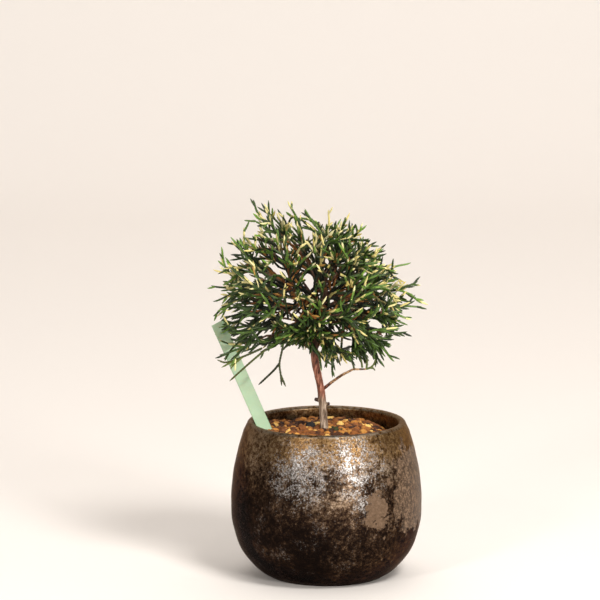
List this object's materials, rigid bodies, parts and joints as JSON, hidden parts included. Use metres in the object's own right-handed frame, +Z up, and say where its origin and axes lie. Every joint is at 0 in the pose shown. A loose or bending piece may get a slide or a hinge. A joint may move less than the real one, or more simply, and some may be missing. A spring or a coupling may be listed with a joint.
{
  "type": "bonsai tree in a pot",
  "caption": "Small conifer bonsai with cord-like variegated foliage in a round metallic glazed pot, with a blank plant label.",
  "frame": {"origin": "on the pot's axis, on the surface that the pot stands on", "axes": "+Z up along the pot's axis, the front of the tree faces -Y, +X to the right seen from the front"},
  "size_m": [0.1106, 0.1, 0.197],
  "materials": {
    "pot_glaze": "metallic bronze and pewter glaze, glossy with crystalline flecks",
    "net_plastic": "moulded, matte",
    "akadama": "granular baked clay, matte",
    "label_plastic": "thin pale green sheet, satin",
    "bark": "reddish-brown flaking bark",
    "foliage": "scaly cord-like shoots, green with cream tips, waxy"
  },
  "bodies": {
    "root": {"pot": "pot_glaze", "drainage_net": "net_plastic", "soil": "akadama", "plant_label": "label_plastic", "trunk_and_branches": "bark", "spray_low_right_1": "foliage", "spray_low_right_2": "foliage", "spray_low_right_3": "foliage", "spray_low_left_1": "foliage", "spray_low_left_2": "foliage", "spray_low_left_3": "foliage", "spray_mid_left_1": "foliage", "spray_mid_left_2": "foliage", "spray_mid_left_3": "foliage", "spray_upper_left_1": "foliage", "spray_upper_left_2": "foliage", "spray_upper_left_3": "foliage", "spray_top_left_1": "foliage", "spray_top_left_2": "foliage", "spray_top_left_3": "foliage", "spray_top_middle_1": "foliage", "spray_top_middle_2": "foliage", "spray_leader_1": "foliage", "spray_leader_2": "foliage", "spray_top_right_1": "foliage", "spray_top_right_2": "foliage", "spray_top_right_3": "foliage", "spray_upper_right_1": "foliage", "spray_upper_right_2": "foliage", "spray_upper_right_3": "foliage", "spray_mid_right_1": "foliage", "spray_mid_right_2": "foliage", "spray_mid_right_3": "foliage", "spray_inner_right_1": "foliage", "spray_inner_right_2": "foliage", "spray_front_low_1": "foliage", "spray_front_low_2": "foliage", "spray_front_left_1": "foliage", "spray_front_left_2": "foliage", "spray_front_right_1": "foliage", "spray_front_right_2": "foliage", "spray_front_middle_1": "foliage", "spray_front_middle_2": "foliage", "spray_front_middle_3": "foliage", "spray_front_high_1": "foliage", "spray_front_high_2": "foliage", "spray_back_low_1": "foliage", "spray_back_low_2": "foliage", "spray_back_left_1": "foliage", "spray_back_left_2": "foliage", "spray_back_right_1": "foliage", "spray_back_right_2": "foliage", "spray_back_middle_1": "foliage", "spray_back_middle_2": "foliage", "spray_back_middle_3": "foliage", "spray_back_high_1": "foliage", "spray_back_high_2": "foliage"}
  },
  "joints": []
}
